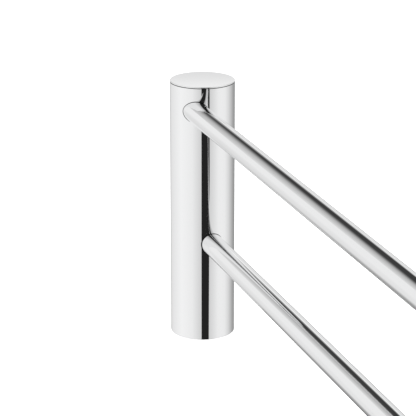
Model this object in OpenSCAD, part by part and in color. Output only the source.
// Double heated towel rail: two round posts stand straight out from a wall, with two round rails between them.
// Z = 0 is the wall. +Z points out of the wall along the posts, +X runs along the rails, and the outer rail
// sits a little towards -Y. The origin is on the wall, midway between the posts. Sizes are in millimetres.

/* [Overall] */
// Distance between the two post axes, along X
post_spacing = 600; // [400:10:1000]
// Height of a post with its cap, out from the wall
post_h = 155; // [125:1:220]

/* [Posts] */
// Outside diameter of a post
post_d = 38; // [37:0.5:60]
// Wall of the post tube
post_wall = 1.5; // [1.2:0.1:2.5]
// Fine chamfer that breaks the outer edges of the posts and caps
edge_break = 0.2; // [0.1:0.05:0.25]

/* [Rails] */
// Outside diameter of a rail
rail_d = 12.7; // [11:0.1:16]
// Wall of a rail tube
rail_wall = 1.2; // [1:0.1:1.6]
// Depth of the outer rail's axis below the top of the post
outer_rail_drop = 15; // [14:0.5:30]
// Height of the inner rail's axis above the wall
inner_rail_z = 60; // [50:1:75]
// Sideways place of the outer rail, from the post's axis towards -Y
outer_rail_offset = 9; // [7:0.1:10.5]
// How far a rail end runs past the post's axis
rail_past_axis = 1; // [0:0.5:1.5]

/* [Caps] */
// Thickness of a cap's visible disc
cap_t = 0.8; // [0.6:0.1:2]
// Depth of a cap's spigot inside the post
cap_spigot_h = 3; // [2.5:0.1:5]
// Wall of the hollow spigot
cap_spigot_wall = 3; // [2.5:0.1:3.5]
// Section diameter of the ring that grips the post's bore
cap_ring_d = 1.6; // [1.2:0.1:2]

/* [Rail holders] */
// Distance from the post's axis to the flat that leaves room for the leads
holder_flat = 5; // [4:0.5:6]
// Thread size of the rail lock screws
lock_screw_d = 5; // [4:0.5:6]
// Length of the rail lock screws
lock_screw_len = 4; // [3:0.5:5]
// Distance of a lock screw from the post's axis, along the rail
lock_screw_x = 6; // [5:0.5:8]

/* [Wall feet] */
// Height of a wall foot, with its seal
foot_h = 18; // [17:0.5:25]
// Thickness of the screw plate in a wall foot
foot_plate_t = 5; // [4:0.5:8]
// Wall of the foot's rim, which takes the grub screw's thread
foot_rim = 3.4; // [3:0.1:4]
// Thickness of the seal between a foot and the wall
seal_t = 1; // [0.5:0.1:2]
// Bore for the supply cable in the middle of a foot
cable_bore_d = 9; // [8:0.5:9]
// Hole in the grommet, for the cable's sheath
cable_d = 6.4; // [5:0.1:7]
// Hole for a wall screw
wall_screw_hole_d = 4.4; // [3.5:0.1:5]
// Countersink for a wall screw's head
wall_screw_head_d = 8.4; // [7:0.1:8.6]
// Thread size of the grub screws that hold the posts
grub_screw_d = 5; // [4:0.5:6]
// Height of a grub screw's axis above the wall
grub_screw_z = 12; // [11:0.5:14]

/* [Heating] */
// Diameter of a heating element
element_d = 8; // [6:0.1:8.5]
// Distance from a post's axis to the end of a heating element
element_inset = 25; // [20:1:60]
// Width of a centring ring
centring_ring_w = 6; // [4:0.5:10]
// Number of centring rings on each element
centring_ring_count = 4; // [2:1:6]
// Diameter of a lead
lead_d = 4; // [3:0.1:4.2]
// Distance from the post's axis to the leads that run down beside the holders
lead_x = 8; // [7.8:0.1:8.2]
// Radius of the leads' bend
lead_bend_r = 5; // [4.5:0.1:5]
// Length of the bush in a rail's end
bush_len = 6; // [4:0.5:10]
// Outside diameter of the thermal cut-out on the outer rail's lead
cutout_d = 8; // [7:0.1:8.4]
// Length of the thermal cut-out
cutout_len = 15; // [10:1:20]

/* [Terminals] */
// Height of the terminal block
block_h = 14; // [13:0.5:20]
// Outside diameter of a terminal sleeve
sleeve_d = 6; // [5.6:0.1:6.4]
// Thread size of the terminal screws
terminal_screw_d = 3; // [2.5:0.5:3]
// Thickness of the earth strap
strap_t = 1; // [0.6:0.1:1]
// Width of the earth strap
strap_w = 5; // [4:0.1:5]

/* [Fits] */
// Radial clearance of the parts that slip into a post
slip_fit = 0.1; // [0.05:0.05:0.2]
// Radial clearance of a rail in its holes
rail_fit = 0.05; // [0.02:0.01:0.1]

/* [Hidden] */
$fn = 96;

LEFT = -1;
RIGHT = 1;
overlap = 1;                                    // how far a cutter runs past the face that it opens
post_bore = post_d - 2 * post_wall;
insert_d = post_bore - 2 * slip_fit;            // holders, feet, terminal block and spigots slip into a post
rail_bore = rail_d - 2 * rail_wall;
rail_hole_d = rail_d + 2 * rail_fit;
outer_rail_z = post_h - outer_rail_drop;
rail_len = post_spacing + 2 * rail_past_axis;
element_len = post_spacing - 2 * element_inset;
rail_places = [[-outer_rail_offset, outer_rail_z], [0, inner_rail_z]];   // y and z of the two rail axes

tube_top = post_h - cap_t;                      // the cap's disc rests on the end of the tube
spigot_bottom = tube_top - cap_spigot_h;
spigot_bore = insert_d - 2 * cap_spigot_wall;
cap_ring_r = post_bore / 2 - cap_ring_d / 2;    // the ring's middle circle: it just fills the post's bore
cap_ring_z = tube_top - cap_spigot_h / 2;
cap_groove_w = cap_ring_d + 0.2;

holder_gap = 0.4;                               // between the outer holder and the cap's spigot
holder_half_h = spigot_bottom - holder_gap - outer_rail_z;
lead_way_d = 7.2;                               // cross hole that the lead bends out through
hex_share = 0.5;                                // a screw's hexagon socket, as a share of its diameter
socket_depth = 2;
slot_w = 0.7;                                   // screwdriver slots
slot_depth = 0.9;

foot_cavity_d = insert_d - 2 * foot_rim;
plate_top = seal_t + foot_plate_t;
wall_screw_r = (cable_bore_d + foot_cavity_d) / 4;   // midway between the cable bore and the rim
head_sink = (wall_screw_head_d - wall_screw_hole_d) / 2;
grommet_lip_d = cable_bore_d + 1.4;
grommet_lip_t = 1;
grub_outer_r = post_d / 2 - 0.4;                // the screw's outer end sits inside the post's wall
grub_inner_r = foot_cavity_d / 2 - 0.4;

block_bottom = foot_h;                          // the block stands on the foot's rim
block_top = block_bottom + block_h;
pole_y = [-outer_rail_offset, 0, outer_rail_offset];
screw_levels = [block_bottom + 0.3 * block_h, block_bottom + 0.7 * block_h];
lead_end_z = block_bottom + block_h / 2;        // a lead fills the upper half of its sleeve
// a terminal screw starts on the lead and ends just inside the block's round face
screw_corner_y = outer_rail_offset + terminal_screw_d / 2;
terminal_screw_len = sqrt(pow(insert_d / 2, 2) - pow(screw_corner_y, 2)) - 0.2 - lead_x - lead_d / 2;
earth_screw_d = 3;
earth_screw_z = inner_rail_z - holder_half_h + 6.5;
earth_screw_len = 7;
earth_head_d = 5.4;
earth_head_t = 2;
strap_top = earth_screw_z + 4;

chrome = [0.88, 0.89, 0.90];
steel = [0.70, 0.71, 0.73];
aluminium = [0.76, 0.77, 0.79];
black_steel = [0.16, 0.16, 0.17];
rubber_black = [0.10, 0.10, 0.10];
silicone_red = [0.62, 0.18, 0.13];
lead_white = [0.90, 0.89, 0.85];
ceramic_cream = [0.89, 0.86, 0.78];
brass = [0.80, 0.66, 0.34];
copper = [0.78, 0.47, 0.31];

// Places children at one post. There, +X points along the rails to the other post.
module at_post(side) {
    translate([side * post_spacing / 2, 0, 0]) mirror([side > 0 ? 1 : 0, 0, 0]) children();
}

// A round bar along X from x0 to x1.
module bar_x(d, x0, x1) {
    translate([x0, 0, 0]) rotate([0, 90, 0]) cylinder(d = d, h = x1 - x0);
}

// A tube along Z from z0 to z1.
module tube_z(d_out, d_in, z0, z1) {
    difference() {
        translate([0, 0, z0]) cylinder(d = d_out, h = z1 - z0);
        translate([0, 0, z0 - overlap]) cylinder(d = d_in, h = z1 - z0 + 2 * overlap);
    }
}

// A tube along X from x0 to x1.
module tube_x(d_out, d_in, x0, x1) {
    difference() {
        bar_x(d_out, x0, x1);
        bar_x(d_in, x0 - overlap, x1 + overlap);
    }
}

// A headless screw standing on Z = 0, with a hexagon socket in its top.
module grub_screw(d, len) {
    tip = d / 10;
    difference() {
        union() {
            cylinder(d1 = d - 2 * tip, d2 = d, h = tip);
            translate([0, 0, tip]) cylinder(d = d, h = len - tip);
        }
        translate([0, 0, len - socket_depth]) cylinder(d = d * hex_share, h = socket_depth + overlap, $fn = 6);
    }
}

module post(side) {
    top_d = post_d - 2 * edge_break;
    color(chrome) at_post(side) difference() {
        union() {
            cylinder(d = post_d, h = tube_top - edge_break);
            translate([0, 0, tube_top - edge_break]) cylinder(d1 = post_d, d2 = top_d, h = edge_break);
        }
        translate([0, 0, -overlap]) cylinder(d = post_bore, h = post_h + 2 * overlap);
        for (place = rail_places)
            translate([0, place[0], place[1]]) bar_x(rail_hole_d, 0, post_d);
        translate([0, 0, grub_screw_z]) rotate([-90, 0, 0])
            cylinder(d = grub_screw_d + 2 * slip_fit, h = post_d);
    }
}

module cap(side) {
    edge_d = post_d - 2 * edge_break;
    color(chrome) at_post(side) difference() {
        union() {
            translate([0, 0, tube_top]) cylinder(d1 = edge_d, d2 = post_d, h = edge_break);
            translate([0, 0, tube_top + edge_break]) cylinder(d = post_d, h = cap_t - 2 * edge_break);
            translate([0, 0, post_h - edge_break]) cylinder(d1 = post_d, d2 = edge_d, h = edge_break);
            translate([0, 0, spigot_bottom]) cylinder(d = insert_d, h = cap_spigot_h + edge_break);
        }
        translate([0, 0, spigot_bottom - overlap]) cylinder(d = spigot_bore, h = cap_spigot_h + overlap);
        translate([0, 0, cap_ring_z])
            tube_z(post_d, 2 * cap_ring_r - cap_ring_d, -cap_groove_w / 2, cap_groove_w / 2);
    }
}

module cap_rings() {
    color(rubber_black) for (side = [LEFT, RIGHT])
        at_post(side) translate([0, 0, cap_ring_z])
            rotate_extrude() translate([cap_ring_r, 0]) circle(d = cap_ring_d);
}

module rail(place) {
    color(chrome) translate([0, place[0], place[1]]) tube_x(rail_d, rail_bore, -rail_len / 2, rail_len / 2);
}

// A turned block inside a post. It takes a rail's end in a blind bore, and a lock screw clamps the rail.
// The outer rail's screw comes from above and the inner rail's from below.
module holder(side, place, screw_up) {
    color(aluminium) at_post(side) translate([0, 0, place[1]]) difference() {
        translate([0, 0, -holder_half_h]) cylinder(d = insert_d, h = 2 * holder_half_h);
        translate([-post_d - holder_flat, -post_d / 2, -post_h / 2]) cube([post_d, post_d, post_h]);
        translate([0, place[0], 0]) bar_x(rail_hole_d, -rail_past_axis - rail_fit, post_d);
        translate([0, place[0], 0]) bar_x(lead_way_d, -post_d, 0);
        translate([lock_screw_x, place[0], screw_up ? 0 : -post_h / 2])
            cylinder(d = lock_screw_d, h = post_h / 2);
        if (!screw_up)
            translate([0, pole_y[2], earth_screw_z - place[1]])
                bar_x(earth_screw_d, -post_d, earth_screw_len - holder_flat);
    }
}

module rail_lock_screws() {
    color(black_steel) for (side = [LEFT, RIGHT]) at_post(side) {
        translate([lock_screw_x, rail_places[0][0], rail_places[0][1] + rail_d / 2])
            grub_screw(lock_screw_d, lock_screw_len);
        translate([lock_screw_x, rail_places[1][0], rail_places[1][1] - rail_d / 2])
            rotate([180, 0, 0]) grub_screw(lock_screw_d, lock_screw_len);
    }
}

// A cup that is screwed to the wall. The post slips over it and the grub screw holds it there.
module wall_foot(side) {
    color(steel) at_post(side) difference() {
        translate([0, 0, seal_t]) cylinder(d = insert_d, h = foot_h - seal_t);
        translate([0, 0, plate_top]) cylinder(d = foot_cavity_d, h = foot_h);
        translate([0, 0, -overlap]) cylinder(d = cable_bore_d, h = foot_h);
        for (x = [-wall_screw_r, wall_screw_r]) translate([x, 0, 0]) {
            cylinder(d = wall_screw_hole_d, h = foot_h);
            translate([0, 0, plate_top - head_sink])
                cylinder(d1 = wall_screw_hole_d, d2 = wall_screw_head_d, h = head_sink);
        }
        translate([0, 0, grub_screw_z]) rotate([-90, 0, 0]) cylinder(d = grub_screw_d, h = post_d);
    }
}

module wall_seal(side) {
    color(rubber_black) at_post(side) tube_z(insert_d, foot_cavity_d, 0, seal_t);
}

module post_grub_screws() {
    color(black_steel) for (side = [LEFT, RIGHT])
        at_post(side) translate([0, grub_inner_r, grub_screw_z]) rotate([-90, 0, 0])
            grub_screw(grub_screw_d, grub_outer_r - grub_inner_r);
}

module cable_grommet() {
    color(rubber_black) at_post(LEFT) difference() {
        union() {
            translate([0, 0, seal_t]) cylinder(d = cable_bore_d, h = foot_plate_t);
            translate([0, 0, plate_top]) cylinder(d = grommet_lip_d, h = grommet_lip_t);
        }
        cylinder(d = cable_d, h = foot_h);
    }
}

module element(place) {
    color(steel) translate([0, place[0], place[1]]) bar_x(element_d, -element_len / 2, element_len / 2);
}

module centring_rings() {
    step = element_len / centring_ring_count;
    color(silicone_red) for (place = rail_places, i = [0 : centring_ring_count - 1]) {
        x = (i + 0.5) * step - element_len / 2;
        translate([0, place[0], place[1]])
            tube_x(rail_bore, element_d, x - centring_ring_w / 2, x + centring_ring_w / 2);
    }
}

module lead_bushes() {
    color(rubber_black) for (place = rail_places)
        at_post(LEFT) translate([0, place[0], place[1]])
            tube_x(rail_bore, lead_d, -rail_past_axis, bush_len - rail_past_axis);
}

// A lead from the end of a heating element, out of the rail, round one bend and down into its terminal.
module lead(place) {
    bend_x = lead_bend_r - lead_x;
    color(lead_white) at_post(LEFT) translate([0, place[0], 0]) {
        translate([0, 0, place[1]]) bar_x(lead_d, bend_x, element_inset);
        translate([bend_x, 0, place[1] - lead_bend_r]) rotate([90, 0, 0]) rotate([0, 0, 90])
            rotate_extrude(angle = 90) translate([lead_bend_r, 0]) circle(d = lead_d);
        translate([-lead_x, 0, lead_end_z]) cylinder(d = lead_d, h = place[1] - lead_bend_r - lead_end_z);
    }
}

module thermal_cutout() {
    middle = (outer_rail_z + inner_rail_z) / 2;
    color(black_steel) at_post(LEFT) translate([-lead_x, rail_places[0][0], 0])
        tube_z(cutout_d, lead_d, middle - cutout_len / 2, middle + cutout_len / 2);
}

module terminal_block() {
    color(ceramic_cream) at_post(LEFT) difference() {
        translate([0, 0, block_bottom]) cylinder(d = insert_d, h = block_h);
        for (y = pole_y) {
            translate([-lead_x, y, 0]) cylinder(d = sleeve_d, h = post_h);
            for (z = screw_levels) translate([0, y, z]) bar_x(terminal_screw_d, -post_d, -lead_x);
        }
    }
}

module terminal_sleeves() {
    color(brass) at_post(LEFT) for (y = pole_y) difference() {
        translate([-lead_x, y, 0]) tube_z(sleeve_d, lead_d, block_bottom, block_top);
        for (z = screw_levels) translate([0, y, z]) bar_x(terminal_screw_d, -post_d, -lead_x);
    }
}

module terminal_screws() {
    color(steel) at_post(LEFT) for (y = pole_y, z = screw_levels)
        translate([-lead_x - lead_d / 2, y, z]) rotate([0, -90, 0]) difference() {
            cylinder(d = terminal_screw_d, h = terminal_screw_len);
            translate([-terminal_screw_d, -slot_w / 2, terminal_screw_len - slot_depth])
                cube([2 * terminal_screw_d, slot_w, slot_depth + overlap]);
        }
}

// Joins the earth terminal to the inner rail's holder, so that every bare metal part is earthed.
module earth_strap() {
    tab_len = lead_x + sleeve_d / 2 - holder_flat;
    color(copper) at_post(LEFT) difference() {
        union() {
            translate([-holder_flat - strap_t, pole_y[2] - strap_w / 2, block_top])
                cube([strap_t, strap_w, strap_top - block_top]);
            translate([-holder_flat - tab_len, pole_y[2] - strap_w / 2, block_top])
                cube([tab_len, strap_w, strap_t]);
        }
        translate([0, pole_y[2], earth_screw_z]) bar_x(earth_screw_d + 2 * slip_fit, -post_d, 0);
    }
}

module earth_screw() {
    face_x = -holder_flat - strap_t;
    color(brass) at_post(LEFT) translate([0, pole_y[2], earth_screw_z]) difference() {
        union() {
            bar_x(earth_head_d, face_x - earth_head_t, face_x);
            bar_x(earth_screw_d, face_x - overlap, earth_screw_len - holder_flat);
        }
        translate([face_x - earth_head_t - overlap, -earth_head_d, -slot_w / 2])
            cube([overlap + slot_depth, 2 * earth_head_d, slot_w]);
    }
}

post(LEFT);  // left_post
post(RIGHT);  // right_post
cap(LEFT);  // left_cap
cap(RIGHT);  // right_cap
cap_rings();
rail(rail_places[0]);  // outer_rail
rail(rail_places[1]);  // inner_rail
holder(LEFT, rail_places[0], true);  // left_outer_holder
holder(LEFT, rail_places[1], false);  // left_inner_holder
holder(RIGHT, rail_places[0], true);  // right_outer_holder
holder(RIGHT, rail_places[1], false);  // right_inner_holder
rail_lock_screws();
wall_foot(LEFT);  // left_wall_foot
wall_foot(RIGHT);  // right_wall_foot
wall_seal(LEFT);  // left_wall_seal
wall_seal(RIGHT);  // right_wall_seal
post_grub_screws();
cable_grommet();
element(rail_places[0]);  // outer_element
element(rail_places[1]);  // inner_element
centring_rings();
lead_bushes();
lead(rail_places[0]);  // outer_lead
lead(rail_places[1]);  // inner_lead
thermal_cutout();
terminal_block();
terminal_sleeves();
terminal_screws();
earth_strap();
earth_screw();
